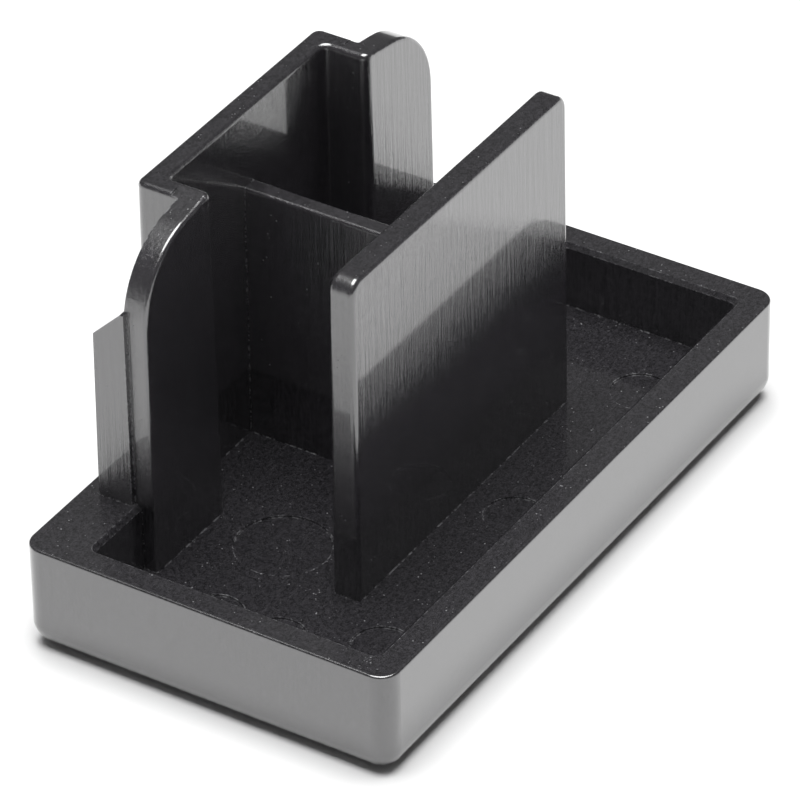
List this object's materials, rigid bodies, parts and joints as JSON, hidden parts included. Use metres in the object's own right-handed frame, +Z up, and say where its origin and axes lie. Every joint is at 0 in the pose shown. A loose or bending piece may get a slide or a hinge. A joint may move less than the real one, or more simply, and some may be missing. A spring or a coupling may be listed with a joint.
{
  "type": "profile end cap",
  "caption": "Moulded end cap: shallow rounded tray with a plug of a plate, a web and a hat-shaped wall with rounded wings that goes into the hollow end of a profile.",
  "frame": {"origin": "bottom centre of the tray's flat outer face", "axes": "+X along the cap's length, +Y towards the hat-shaped wall, +Z up the plug, into the profile"},
  "size_m": [0.04, 0.0226, 0.0227],
  "materials": {
    "end_cap": "charcoal black moulded plastic, satin outside and glossy on the plug"
  },
  "bodies": {
    "root": {"end_cap": "end_cap"}
  },
  "joints": []
}
